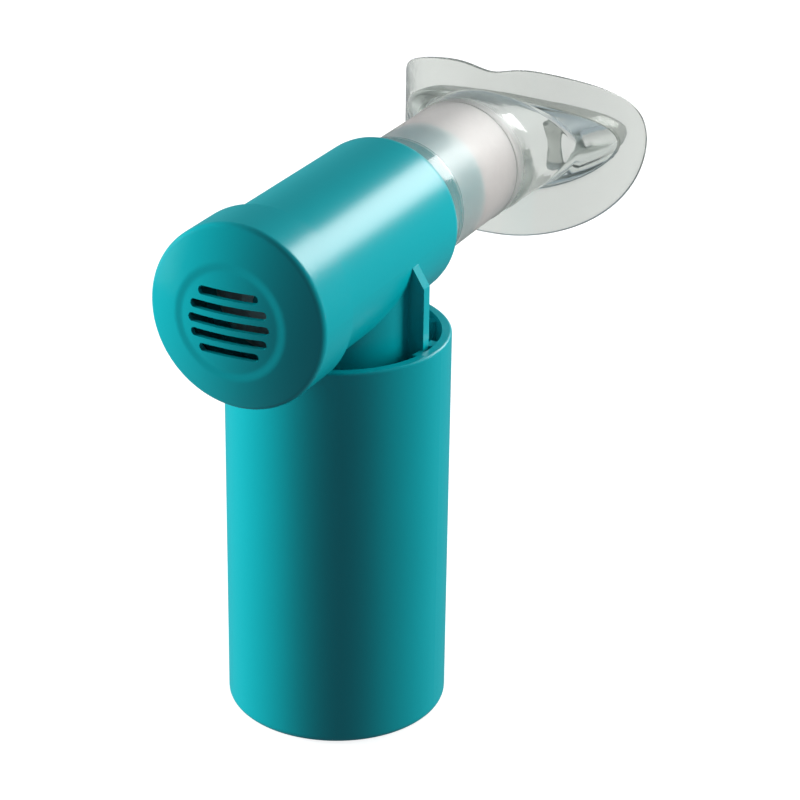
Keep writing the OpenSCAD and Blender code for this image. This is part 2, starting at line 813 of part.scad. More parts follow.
// A ring of the flange whose outline is given straight along the tube's axis
function straight_ring(w, h, rise, end_rise) =
    [for (i = [0:flange_segments - 1])
        let (p = oval(360 * i / flange_segments, w, h))
        [p[0], sheet_y(p[0]) + rise + end_rise * pow(p[0] / rim_half_w, 2), axis_h + p[1]]];

// A ring on the bent sheet between the neck's outline and the shield's edge
function sheet_ring(share, inset, off, inner) =
    [for (i = [0:flange_segments - 1])
        let (t = 360 * i / flange_segments, far = polar(t, shield_r(t) - inset) + [0, -shield_drop])
        on_sheet(inner[i] * (1 - share) + far * share, off)];

// The inner ring's places on the sheet, as lengths along the bend
function unbent(points) =
    [for (p = points)
        let (x = p[0], side = x < 0 ? -1 : 1, over = max(abs(x) - shield_flat, 0))
        [side * (min(abs(x), shield_flat) + shield_bend_r * asin(min(over / shield_bend_r, 1)) * PI / 180),
         p[2] - axis_h]];

// A ring part of the way between two rings, leaving the first along Y and meeting the second across it
function flared(from, to, share) =
    [for (i = [0:flange_segments - 1])
        let (grow = 1 - cos(90 * share), go = sin(90 * share), a = from[i], b = to[i])
        [a[0] + (b[0] - a[0]) * grow, a[1] + (b[1] - a[1]) * go, a[2] + (b[2] - a[2]) * grow]];

// An oval outline laid on the bent sheet, as lengths along the bend
function sheet_oval(w, h) = [for (i = [0:flange_segments - 1]) oval(360 * i / flange_segments, w, h)];

// A plain oval ring at one depth
function oval_ring(half_w, half_h, y) =
    [for (i = [0:flange_segments - 1])
        let (t = 360 * i / flange_segments)
        [half_w * cos(t), y, axis_h + half_h * sin(t)]];

// Silicone bite shield with its neck in front and its mouth rim behind
module mouthpiece_flange() {
    flare_shares = [0.25, 0.5, 0.75];
    neck_start = oval_ring(tube_r, tube_r, tube_far);
    neck_mid = oval_ring((tube_r + shoulder_half_w) / 2, (tube_r + shoulder_half_h) / 2,
                         (tube_far + shoulder_y) / 2);
    shoulder = oval_ring(shoulder_half_w, shoulder_half_h, shoulder_y);
    front_uv = sheet_oval(neck_half_w, neck_half_h);
    front = [for (p = front_uv) on_sheet(p, -shield_t / 2)];
    rim_root = straight_ring(rim_half_w + rim_draft, rim_half_h + rim_draft, shield_t / 2, 0);
    rim_uv = unbent(rim_root);
    lip_outer = straight_ring(rim_half_w, rim_half_h, rim_h, rim_end_h);
    lip_inner = straight_ring(rim_half_w - rim_wall, rim_half_h - rim_wall, rim_h, rim_end_h);
    slot = [for (p = sheet_oval(slot_half_w, slot_half_h)) on_sheet(p, 0)];
    bore = oval_ring(tube_bore_r, tube_bore_r, tube_far);
    rings = concat(
        [neck_start, neck_mid, shoulder],
        [for (share = flare_shares) flared(shoulder, front, share)],
        [front, sheet_ring(0.5, 0, -shield_t / 2, front_uv)],
        [sheet_ring(1, edge_inset, -shield_t / 2, front_uv), sheet_ring(1, 0, 0, front_uv)],
        [sheet_ring(1, edge_inset, shield_t / 2, rim_uv), sheet_ring(0.5, 0, shield_t / 2, rim_uv)],
        [sheet_ring(0, 0, shield_t / 2, rim_uv), lip_outer, lip_inner, slot],
        [for (k = [len(flare_shares) - 1:-1:0]) flared(bore, slot, flare_shares[k])],
        [bore]);
    count = len(rings);
    n = flange_segments;
    faces = concat(
        [for (k = [0:count - 1]) for (i = [0:n - 1])
            [k * n + i, k * n + (i + 1) % n, ((k + 1) % count) * n + (i + 1) % n]],
        [for (k = [0:count - 1]) for (i = [0:n - 1])
            [k * n + i, ((k + 1) % count) * n + (i + 1) % n, ((k + 1) % count) * n + i]]);
    color(clear_silicone, 0.5)
        polyhedron([for (ring_points = rings) each ring_points], faces, convexity = 10);
}

// Two waisted posts that keep the user's teeth apart
module bite_posts() {
    far_x = bite_post_x + bite_post_r;
    post_y = sheet_y(far_x) + bite_post_r / 2 + rest_gap;
    far_bend = shield_flat + shield_bend_r * asin((far_x - shield_flat) / shield_bend_r) * PI / 180;
    half = slot_half_h * sqrt(1 - pow(far_bend / slot_half_w, 2)) - rest_gap;
    waist_share = 0.72;
    color(clear_silicone, 0.6)
        for (side = [-1, 1])
            translate([side * bite_post_x, post_y, axis_h])
                rotate_extrude()
                    polygon([[0, -half], [bite_post_r, -half], [bite_post_r * waist_share, -half / 3],
                             [bite_post_r * waist_share, half / 3], [bite_post_r, half], [0, half]]);
}

handle_cover();
head_shell();
mouthpiece_spigot();
exhale_valve_seat();
exhale_valve_disc();
exhale_disc_retainer();
exhale_cap_seal();
exhale_cap();
inlet_seat_gasket();
inlet_valve_seat();
inlet_poppet();
poppet_seal();
load_spindle();
spindle_nut();
spindle_end_clip();
spring_housing();
load_scale();
spring_top_washer();
load_spring();
load_pointer();
thrust_washer();
load_knob();
knob_thread_insert();
mouthpiece_tube();
mouthpiece_flange();
bite_posts();
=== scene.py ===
"""Dresses a hand-held breathing trainer: teal plastic, a clear silicone mouthpiece, a sprung valve."""

import json
import math

import bmesh
import bpy
import numpy as np
from bpy.props import FloatProperty, FloatVectorProperty, IntProperty, PointerProperty
from mathutils import Matrix, Quaternion, Vector


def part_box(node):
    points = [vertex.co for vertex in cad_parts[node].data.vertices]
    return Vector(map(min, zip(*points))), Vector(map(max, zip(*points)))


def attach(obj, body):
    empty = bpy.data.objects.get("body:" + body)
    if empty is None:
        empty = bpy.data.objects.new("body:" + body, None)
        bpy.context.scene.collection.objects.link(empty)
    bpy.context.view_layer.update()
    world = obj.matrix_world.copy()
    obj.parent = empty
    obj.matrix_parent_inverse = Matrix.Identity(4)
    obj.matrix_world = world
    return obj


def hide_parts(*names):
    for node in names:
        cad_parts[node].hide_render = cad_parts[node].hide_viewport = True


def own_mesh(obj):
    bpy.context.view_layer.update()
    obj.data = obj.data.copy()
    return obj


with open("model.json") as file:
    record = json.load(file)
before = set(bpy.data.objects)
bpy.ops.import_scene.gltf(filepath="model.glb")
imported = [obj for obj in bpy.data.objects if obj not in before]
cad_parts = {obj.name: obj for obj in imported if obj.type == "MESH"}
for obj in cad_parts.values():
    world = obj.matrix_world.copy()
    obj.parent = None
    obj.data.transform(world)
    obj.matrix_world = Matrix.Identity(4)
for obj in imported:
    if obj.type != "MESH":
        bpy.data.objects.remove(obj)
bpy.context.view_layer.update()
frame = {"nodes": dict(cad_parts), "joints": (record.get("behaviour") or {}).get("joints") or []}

bl_info = {
    "name": "Breathing Trainer",
    "version": (1, 0, 0),
    "blender": (4, 5, 0),
    "location": "View3D > Sidebar > Trainer",
    "description": "Dresses a hand-held breathing trainer round its packed frame",
    "category": "Add Mesh",
}

MM = 0.001


def span(node):
    """Lowest and highest corner of a CAD node, as two arrays in metres."""
    low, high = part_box(node)
    return np.array(low), np.array(high)


def cylinder_places(node):
    """Angles about the handle's axis and distances from it of a CAD node's points."""
    mesh = frame["nodes"][node].data
    places = np.zeros(3 * len(mesh.vertices))
    mesh.vertices.foreach_get("co", places)
    x, y, _ = places.reshape(-1, 3).T
    return np.arctan2(y, x), np.hypot(x, y)


def joint_range(name):
    """Length of a sliding joint's range, in metres."""
    low, high = next(j for j in frame["joints"] if j["name"] == name)["range_m"]
    return high - low


def linear(code):
    """An sRGB hex code as the linear colour that shaders take."""
    parts = [int(code[i : i + 2], 16) / 255 for i in (1, 3, 5)]
    return tuple(p / 12.92 if p <= 0.04045 else ((p + 0.055) / 1.055) ** 2.4 for p in parts) + (1.0,)


# Sizes that the frame gives
TUBE_LOW, TUBE_HIGH = span("mouthpiece_tube")
SPIGOT_END = span("mouthpiece_spigot")[1][1]
CUFF_HEIGHT = 0.6 * MM
TUBE_R = (TUBE_HIGH[0] - TUBE_LOW[0]) / 2 - CUFF_HEIGHT
AXIS_H = (TUBE_HIGH[2] + TUBE_LOW[2]) / 2
SPRING_LOW, SPRING_HIGH = span("load_spring")
SPINDLE_LOW, SPINDLE_HIGH = span("load_spindle")


def length(name, description, default):
    """A length property in metres."""
    return FloatProperty(name=name, description=description, default=default, min=0.0, unit="LENGTH")


def tilt(name, description, degrees):
    """An angle property from degrees."""
    return FloatProperty(name=name, description=description, default=math.radians(degrees), subtype="ANGLE")


def number(name, description, default, **settings):
    """A plain number property."""
    return FloatProperty(name=name, description=description, default=default, **settings)


def colour(name, description, code):
    """A colour property from an sRGB hex code."""
    return FloatVectorProperty(
        name=name, description=description, default=linear(code), size=4, min=0.0, max=1.0, subtype="COLOR"
    )


class TrainerColours(bpy.types.PropertyGroup):
    """Colours of the trainer's materials."""

    teal: colour("Teal", "Moulded shell, cap and handle cover", "#00a9b1")
    # the spigot and exhale valve seat have a teal of their own, set lighter than the shell's teal as painted
    # light for the light that reaches the spigot only dimly through the tube
    deep_teal: colour("Teal with painted light", "Spigot and exhale valve seat", "#10b3bd")
    white: colour("White", "Valve parts of white plastic", "#e6e8e3")
    grey: colour("Grey", "Spring housing", "#bfc5c6")
    charcoal: colour("Charcoal", "Load knob", "#2c3236")
    orange: colour("Orange", "Load pointer", "#d8612c")
    steel: colour("Steel", "Spring, spindle and small hardware", "#c3c7cb")
    brass: colour("Brass", "Thread insert of the knob", "#d3a954")
    rubber: colour("Rubber", "Flat seals", "#1c1e20")
    silicone: colour("Silicone", "Exhale disc and poppet seal", "#d9dcd9")
    clear: colour("Clear silicone", "Bite shield, neck and posts", "#d0d2ce")
    frosted: colour("Frosted silicone", "Mouthpiece tube", "#e0d8d6")


class TrainerMouthpiece(bpy.types.PropertyGroup):
    """Sizes of the one-piece silicone mouthpiece."""

    tube_radius: length("Tube radius", "Outer radius of the tube", TUBE_R)
    grip_wall: length("Grip wall", "Wall where the tube grips the spigot", 1.0 * MM)
    tube_wall: length("Tube wall", "Wall of the tube beyond the spigot", 2.2 * MM)
    spigot_gap: length("Spigot gap", "Gap between the spigot's end and the thicker wall", 0.3 * MM)
    bore_step: length("Bore step", "Length of the step from the thin wall to the thick one", 0.5 * MM)
    shoulder_length: length("Shoulder length", "Length of the shoulder behind the tube", 6.0 * MM)
    shoulder_spread: length("Shoulder spread", "How far the shoulder widens sideways", 1.6 * MM)
    shoulder_squeeze: length("Shoulder squeeze", "How far the shoulder flattens", 0.2 * MM)
    bead_height: length("Bead height", "Height of the bead at the tube's far end", 0.22 * MM)
    bead_width: length("Bead width", "Width of that bead", 1.1 * MM)
    cuff_height: length("Cuff height", "Height of the cuff at the tube's near end", CUFF_HEIGHT)
    cuff_end: length("Cuff end", "From the tube's near end to the cuff's far end", 6.9 * MM)
    cuff_round: length("Cuff round", "Round of the cuff's edges", 0.3 * MM)
    shield_stand_off: length("Shield stand-off", "From the tube's end to the shield's middle", 16.1 * MM)
    shield_bend_radius: length("Shield bend radius", "Bend radius of the bite shield", 28.2 * MM)
    shield_flat: length("Shield flat", "Half width of the shield's flat middle", 3.3 * MM)
    shield_half_width: length("Shield half width", "Half width along the bend", 40.0 * MM)
    shield_up: length("Shield height", "Height of the shield above its middle", 20.0 * MM)
    shield_down: length("Shield depth", "Depth of the shield below its middle", 21.1 * MM)
    shield_thickness: length("Shield thickness", "Thickness of the bite shield", 1.3 * MM)
    edge_round: length("Edge round", "Round of the shield's two edges", 0.3 * MM)
    shield_drop: length("Shield drop", "Drop of the shield's middle below the tube's axis", 1.1 * MM)
    notch_depth: length("Notch depth", "Depth of the notch at the shield's top", 2.0 * MM)
    notch_half_width: length("Notch half width", "Half width of that notch", 6.2 * MM)
    neck_half_width: length("Neck half width", "Half width of the neck's root along the bend", 21.5 * MM)
    neck_half_height: length("Neck half height", "Half height of the neck's root", 11.0 * MM)
    slot_half_width: length("Slot half width", "Half width of the mouth slot along the bend", 19.3 * MM)
    slot_half_height: length("Slot half height", "Half height of the mouth slot", 9.1 * MM)
    rim_height: length("Rim height", "Height of the mouth rim behind the shield", 7.0 * MM)
    rim_end_height: length("Rim end height", "Further height of the rim at its ends", 5.0 * MM)
    rim_half_width: length("Rim half width", "Half width of the mouth rim", 25.2 * MM)
    rim_half_height: length("Rim half height", "Half height of the mouth rim", 10.3 * MM)
    rim_wall: length("Rim wall", "Wall of the mouth rim", 1.6 * MM)
    rim_draft: length("Rim draft", "How much wider the rim is at its foot", 0.6 * MM)
    rim_fillet: length("Rim fillet", "Fillet at the foot of the mouth rim", 0.9 * MM)
    post_radius: length("Post radius", "Radius of a bite post's ends", 2.6 * MM)
    post_waist: number("Post waist", "Share of its radius that a bite post loses at its waist", 0.28)
    post_distance: length("Post distance", "Distance of the bite posts from the middle", 12.8 * MM)
    post_gap: length("Post gap", "Gap between a bite post and the mouth slot", 0.3 * MM)
    frost_fade: length("Frost fade", "Length over which the tube's frost gives way to clear", 3.0 * MM)
    segments: IntProperty(name="Segments", description="Steps round the mouthpiece", default=288, min=32)


class TrainerAdjuster(bpy.types.PropertyGroup):
    """Sizes of the load spring and the spindle's thread."""

    spring_turns: IntProperty(name="Spring turns", description="Turns of the load spring", default=10, min=3)
    wire: length("Spring wire", "Wire diameter of the load spring", 1.2 * MM)
    end_rise: number("End rise", "Rise of the spring's end turns, in wire diameters", 1.5)
    thread_lead: length("Thread lead", "Rise of the spindle's thread in one turn", 2.0 * MM)
    thread_depth: length("Thread depth", "Depth of the spindle's thread", 0.45 * MM)
    thread_chamfer: length("Thread chamfer", "Chamfer at the spindle's ends", 0.6 * MM)
    thread_step: length("Thread step", "Height of one step of the thread's mesh", 0.1 * MM)


class TrainerValves(bpy.types.PropertyGroup):
    """Sizes of the soft discs and seals."""

    pin_radius: length("Pin radius", "Radius of the pin that carries the exhale disc", 1.55 * MM)
    disc_edge: length("Disc edge", "Width of the exhale disc's rounded edge", 0.15 * MM)
    disc_thinning: number("Disc thinning", "Share of its thickness that the disc loses at the edge", 0.45)
    cap_seal_width: length("Cap seal width", "Width of the flat ring behind the cap", 1.7 * MM)
    cap_seal_round: length("Cap seal round", "Round of that ring's corners", 0.25 * MM)
    poppet_hole_gap: length("Poppet hole gap", "Gap of the poppet seal to the spindle", 0.05 * MM)
    poppet_seal_round: length("Poppet seal round", "Round of the poppet seal's corners", 0.3 * MM)
    gasket_width: length("Gasket width", "Width of the inlet seat's gasket", 1.3 * MM)
    gasket_round: length("Gasket round", "Round of the gasket's corners", 0.15 * MM)


class TrainerScale(bpy.types.PropertyGroup):
    """Print of the load scale's film."""

    steps: IntProperty(name="Steps", description="Numbered steps of the load scale", default=10, min=2)
    edge_margin: length("Edge margin", "From the film's edge to the ticks", 0.2 * MM)
    pointer_mark: length("Pointer mark", "Height of the pointer's mark over its lower face", 1.25 * MM)
    long_tick: length("Long tick", "Length of the numbered ticks", 1.5 * MM)
    short_tick: length("Short tick", "Length of the ticks between them", 0.9 * MM)
    tick_width: length("Tick width", "Width of a tick", 0.2 * MM)
    ink_height: length("Ink height", "How far the ink stands proud of the film", 0.04 * MM)
    ink_depth: length("Ink depth", "How far the ink sinks into the film", 0.02 * MM)
    number_place: length("Number place", "From the ticks' start to the numbers' middle", 3.0 * MM)
    number_size: length("Number size", "Size of the numbers", 1.9 * MM)


class TrainerStage(bpy.types.PropertyGroup):
    """Camera and light of the plain studio stage."""

    azimuth: tilt("Azimuth", "Camera's turn from the view along +Y", 25.81)
    elevation: tilt("Elevation", "Camera's height angle", 24.59)
    roll: tilt("Roll", "Camera's roll", 0.81)
    floor_half_width: length("Floor half width", "Half width of the square floor", 3000.0 * MM)
    lamp_distance: length("Lamp distance", "Distance of the softboxes from the point they face", 700.0 * MM)
    lamp_height: length("Lamp height", "Height of the point that the softboxes face", 90.0 * MM)
    lamp_depth: length("Lamp depth", "Place of that point along the barrel", 10.0 * MM)
    distance: length("Distance", "Camera's distance from the object's middle", 551.65 * MM)
    slide_right: length("Slide right", "Camera's slide to its right", 13.19 * MM)
    slide_down: length("Slide down", "Camera's slide downwards", 4.02 * MM)
    target_height: length("Target height", "Height of the point that the camera turns about", 75.0 * MM)
    lens: number("Lens", "Focal length in millimetres", 117.05, min=10.0)
    sensor: number("Sensor", "Width of the camera's sensor in millimetres", 36.0, min=10.0)
    left_power: number("Left power", "Power of the left softbox in watts", 10.1)
    right_power: number("Right power", "Power of the right softbox in watts", 5.2)
    back_power: number("Back power", "Power of the high softbox behind in watts", 2.8)
    air_strength: number("Air strength", "Strength of the even fill", 0.18)
    tent_strength: number("Tent strength", "Brightness of the tent behind the clear pieces", 0.85)


# Small helpers for meshes and materials


def add(tree, kind, inputs=None, stops=(), **settings):
    """Adds a node, sets its settings, sets or links its inputs, and spreads a ramp's stops evenly.

    A node among the inputs is linked by its first output.
    """
    node = tree.nodes.new(kind)
    for key, value in settings.items():
        setattr(node, key, value)
    for key, value in (inputs or {}).items():
        if isinstance(value, bpy.types.Node):
            value = value.outputs[0]
        if isinstance(value, bpy.types.NodeSocket):
            tree.links.new(value, node.inputs[key])
        else:
            node.inputs[key].default_value = value
    for i, value in enumerate(stops):
        marks = node.color_ramp.elements
        mark = marks[i] if i < len(marks) else marks.new(1.0)
        mark.position = i / (len(stops) - 1)
        mark.color = value
    return node


def new_material(name):
    """An empty node material with its tree and its Object coordinates."""
    material = bpy.data.materials.new(name)
    material.use_nodes = True
    tree = material.node_tree
    tree.nodes.clear()
    return material, tree, add(tree, "ShaderNodeTexCoord").outputs["Object"]


def shades(base, *shares):
    """One colour in several shades, each made lighter or darker by its share."""
    return [tuple(min(1.0, c * share) for c in base[:3]) + (1.0,) for share in shares]


def moulded_plastic(name, base, roughness=0.3, peel=0.9 * MM, peel_depth=0.006 * MM):
    """Injection-moulded ABS, acetal or polypropylene: satin, with a faint orange peel in the shine."""
    flow_width = 25 * MM
    material, tree, where = new_material(name)
    flow = add(tree, "ShaderNodeTexNoise", {"Vector": where, "Scale": 1 / flow_width, "Detail": 3.0})
    dimples = add(tree, "ShaderNodeTexNoise", {"Vector": where, "Scale": 1 / peel, "Detail": 2.0})
    tint = add(tree, "ShaderNodeValToRGB", {"Fac": flow}, shades(base, 0.96, 1.0, 1.04))
    spread = {"To Min": roughness - 0.03, "To Max": roughness + 0.03}
    gloss = add(tree, "ShaderNodeMapRange", {"Value": dimples, **spread})
    bump = add(tree, "ShaderNodeBump", {"Height": dimples, "Distance": peel_depth, "Strength": 1.0})
    coat = {"Base Color": tint, "Roughness": gloss, "Normal": bump, "IOR": 1.53, "Specular IOR Level": 0.42}
    shader = add(tree, "ShaderNodeBsdfPrincipled", coat)
    add(tree, "ShaderNodeOutputMaterial", {"Surface": shader})
    return material


def machined_metal(name, base, roughness, grain=2.0 * MM, squeeze=8.0):
    """Drawn, rolled or turned metal: fine lines, a grain squeezed along Z, that blur the shine one way."""
    line_depth = 0.004 * MM
    material, tree, where = new_material(name)
    placed = add(tree, "ShaderNodeMapping", {"Vector": where, "Scale": (1.0, 1.0, squeeze)})
    lines = add(tree, "ShaderNodeTexNoise", {"Vector": placed, "Scale": 1 / grain, "Detail": 4.0})
    tint = add(tree, "ShaderNodeValToRGB", {"Fac": lines}, shades(base, 0.82, 1.0, 1.08))
    spread = {"To Min": roughness - 0.07, "To Max": roughness + 0.09}
    gloss = add(tree, "ShaderNodeMapRange", {"Value": lines, **spread})
    bump = add(tree, "ShaderNodeBump", {"Height": lines, "Distance": line_depth, "Strength": 1.0})
    coat = {"Base Color": tint, "Metallic": 1.0, "Roughness": gloss, "Normal": bump}
    shader = add(tree, "ShaderNodeBsdfPrincipled", coat)
    add(tree, "ShaderNodeOutputMaterial", {"Surface": shader})
    return material


def seal_rubber(name, base):
    """Moulded nitrile rubber: nearly black and matt, with a fine dusty grain."""
    grain = 0.4 * MM
    grain_depth = 0.01 * MM
    material, tree, where = new_material(name)
    dust = add(tree, "ShaderNodeTexNoise", {"Vector": where, "Scale": 1 / grain, "Detail": 5.0})
    tint = add(tree, "ShaderNodeValToRGB", {"Fac": dust}, shades(base, 0.7, 1.5))
    bump = add(tree, "ShaderNodeBump", {"Height": dust, "Distance": grain_depth, "Strength": 1.0})
    coat = {"Base Color": tint, "Roughness": 0.72, "Normal": bump, "IOR": 1.5}
    shader = add(tree, "ShaderNodeBsdfPrincipled", coat)
    add(tree, "ShaderNodeOutputMaterial", {"Surface": shader})
    return material


def valve_silicone(name, base):
    """Thin moulded silicone sheet: smoky, with light that seeps in under its surface."""
    cloud_width = 3 * MM
    seep_depth = 1 * MM
    material, tree, where = new_material(name)
    cloud = add(tree, "ShaderNodeTexNoise", {"Vector": where, "Scale": 1 / cloud_width, "Detail": 2.0})
    tint = add(tree, "ShaderNodeValToRGB", {"Fac": cloud}, shades(base, 0.9, 1.08))
    coat = {
        "Base Color": tint,
        "Roughness": 0.42,
        "IOR": 1.41,
        "Subsurface Weight": 0.5,
        "Subsurface Radius": (1.2, 1.1, 1.0),
        "Subsurface Scale": seep_depth,
    }
    shader = add(tree, "ShaderNodeBsdfPrincipled", coat)
    add(tree, "ShaderNodeOutputMaterial", {"Surface": shader})
    return material


def clear_silicone(name, clear, frosted, cuff_end, frost_start, frost_end, frost_fade):
    """Clear platinum silicone: polished cuff and shield, a half clear stretch on the spigot, frosted tube."""
    wave_width = 6 * MM
    wave_depth = 0.12 * MM
    mist_width = 1.5 * MM
    material, tree, where = new_material(name)
    along = add(tree, "ShaderNodeSeparateXYZ", {"Vector": where}).outputs["Y"]
    # polish before and after each fade along the tube, and where the fade starts and ends
    fades = [
        (0.45, 0.0, frost_start - frost_fade / 2, frost_start),
        (0.0, 1.0, frost_end, frost_end + frost_fade),
        (0.9, 0.0, cuff_end, cuff_end + frost_fade / 8),
    ]
    near, end, cuff = [
        add(
            tree,
            "ShaderNodeMapRange",
            {"Value": along, "To Min": before, "To Max": after, "From Min": start, "From Max": stop},
        )
        for before, after, start, stop in fades
    ]
    far = add(tree, "ShaderNodeMath", {0: end, 1: cuff}, operation="MAXIMUM")
    polish = add(tree, "ShaderNodeMath", {0: near, 1: far}, operation="MAXIMUM")
    waves = add(tree, "ShaderNodeTexNoise", {"Vector": where, "Scale": 1 / wave_width, "Detail": 2.0})
    mist = add(tree, "ShaderNodeTexNoise", {"Vector": where, "Scale": 1 / mist_width, "Detail": 4.0})
    tint = add(tree, "ShaderNodeValToRGB", {"Fac": polish}, [tuple(frosted), tuple(clear)])
    # what each is on frosted silicone and on polished silicone, and how uneven the mist makes the blur
    pairs = [(polish, 0.6, 0.11), (far, 0.1, 0.4), (polish, 0.82, 0.9), (mist, 0.8, 1.2)]
    blur, shine, passed, uneven = [
        add(tree, "ShaderNodeMapRange", {"Value": value, "To Min": least, "To Max": most})
        for value, least, most in pairs
    ]
    rough = add(tree, "ShaderNodeMath", {0: blur, 1: uneven}, operation="MULTIPLY")
    ripple = add(tree, "ShaderNodeBump", {"Height": waves, "Distance": wave_depth, "Strength": 1.0})
    coat = {
        "Base Color": tint,
        "Roughness": rough,
        "IOR": 1.41,
        "Transmission Weight": passed,
        "Specular IOR Level": shine,
        "Normal": ripple,
    }
    body = add(tree, "ShaderNodeBsdfPrincipled", coat)
    # the lamps' light passes straight through, so that thin silicone casts only a faint shadow
    lamp_light = add(tree, "ShaderNodeBsdfTransparent", {"Color": linear("#dfe3e2")})
    shadow = add(tree, "ShaderNodeLightPath").outputs["Is Shadow Ray"]
    surface = add(tree, "ShaderNodeMixShader", {0: shadow, 1: body, 2: lamp_light})
    depth = add(tree, "ShaderNodeVolumeAbsorption", {"Color": linear("#c9d3cf"), "Density": 60.0})
    add(tree, "ShaderNodeOutputMaterial", {"Surface": surface, "Volume": depth})
    return material


def pale_floor(name):
    """Studio paper: white, with a glow of its own and a barely visible grain."""
    grain = 2 * MM
    material, tree, where = new_material(name)
    cloud = add(tree, "ShaderNodeTexNoise", {"Vector": where, "Scale": 1 / grain, "Detail": 3.0})
    whites = [linear("#9b9b9b"), linear("#a1a1a1")]
    tint = add(tree, "ShaderNodeValToRGB", {"Fac": cloud}, whites)
    glow = {"Emission Color": linear("#ffffff"), "Emission Strength": 0.86}
    shader = add(tree, "ShaderNodeBsdfPrincipled", {"Base Color": tint, "Roughness": 0.9, **glow})
    add(tree, "ShaderNodeOutputMaterial", {"Surface": shader})
    return material


def signed_volume(points, faces):
    """Enclosed volume times 6: the sum over the faces' triangles of a . (b x c)."""
    total = 0.0
    for block in faces:
        corners = points[block]
        for k in range(1, block.shape[1] - 1):
            total += np.einsum("ij,ij->", corners[:, 0], np.cross(corners[:, k], corners[:, k + 1]))
    return total


def new_piece(name, surface, material, body, slot, *nodes, sharp=35.0):
    """Makes a closed mesh piece whose faces point outwards, ties it to its body and hides its CAD nodes.

    The surface is the points and arrays of quads or triangles, which are reversed where the enclosed
    volume is negative. The slot is not used.
    """
    points, faces = surface
    turn = -1 if signed_volume(points, faces) < 0 else 1
    mesh = bpy.data.meshes.new(name)
    mesh.from_pydata(points.tolist(), [], sum((block[:, ::turn].tolist() for block in faces), []))
    mesh.polygons.foreach_set("use_smooth", np.ones(len(mesh.polygons), bool))
    mesh.set_sharp_from_angle(angle=math.radians(sharp))
    mesh.materials.append(material)
    piece = bpy.data.objects.new(name, mesh)
    bpy.context.scene.collection.objects.link(piece)
    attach(piece, body)
    if nodes:
        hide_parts(*nodes)
    return piece


def skin(rings, looped):
    """Points and face arrays of a skin over rings of points.

    Quad (k, i) joins points i and i + 1 of rings k and k + 1. Looped rings close on the first one;
    otherwise triangles close each end on its ring's middle.
    """
    rings = np.asarray(rings)
    count, around = rings.shape[:2]
    points = rings.reshape(-1, 3)
    k, i = np.meshgrid(np.arange(count if looped else count - 1), np.arange(around), indexing="ij")
    after, beside = (k + 1) % count * around, (i + 1) % around
    quads = np.stack([k * around + i, k * around + beside, after + beside, after + i], -1).reshape(-1, 4)
    if looped:
        return points, [quads]
    points = np.vstack([points, rings[0].mean(0), rings[-1].mean(0)])
    step = np.arange(around)
    last = (count - 1) * around
    first_pole = np.full(around, count * around)
    start = np.stack([(step + 1) % around, step, first_pole], -1)
    end = np.stack([last + step, last + (step + 1) % around, first_pole + 1], -1)
    return points, [quads, np.vstack([start, end])]


def joined(parts):
    """Points and face arrays of several skins as one."""
    starts = np.cumsum([0] + [len(points) for points, _ in parts])
    kinds = zip(*(faces for _, faces in parts))
    faces = [np.vstack([block + start for block, start in zip(kind, starts)]) for kind in kinds]
    return np.vstack([points for points, _ in parts]), faces


def turned(profile, axis="Z", centre=(0.0, 0.0, 0.0), around=128):
    """Rings of a turned shape: (r cos t, r sin t, h) for each profile point (r, h), about Z or along Y."""
    r, h = np.asarray(profile).T
    t = np.linspace(0, 2 * np.pi, around, endpoint=False)
    x, y = r[:, None] * np.cos(t), r[:, None] * np.sin(t)
    z = np.broadcast_to(h[:, None], x.shape)
    rings = np.stack([x, y, z] if axis == "Z" else [x, z, y], -1)
    return rings + np.asarray(centre)


def rounded_section(r_in, r_out, low, high, edge, steps=5):
    """Closed profile of a turned ring: a rectangle whose corners are quarter circles of radius edge."""
    corners = [
        (r_out - edge, high - edge, 0),
        (r_in + edge, high - edge, 90),
        (r_in + edge, low + edge, 180),
        (r_out - edge, low + edge, 270),
    ]
    arcs = []
    for r, h, start in corners:
        t = np.radians(np.linspace(start, start + 90, steps))
        arcs.append(np.stack([r + edge * np.cos(t), h + edge * np.sin(t)], -1))
    return np.vstack(arcs)


def finish_nodes(names, material):
    """Gives CAD nodes their material; their meshes stay as packed."""
    for name in names:
        mesh = frame["nodes"][name].data
        if mesh.materials:
            mesh.materials[0] = material
        else:
            mesh.materials.append(material)


# The mouthpiece, one moulding whose section is a closed loop of outlines


def ellipse_r(t, width, height):
    """Radius of an ellipse in direction t: ((cos t / width)^2 + (sin t / height)^2)^(-1/2)."""
    return ((np.cos(t) / width) ** 2 + (np.sin(t) / height) ** 2) ** -0.5


def flat_oval(t, width, height):
    """Plane points (width cos t, height sin t)."""
    return np.stack([width * np.cos(t), height * np.sin(t)], -1)


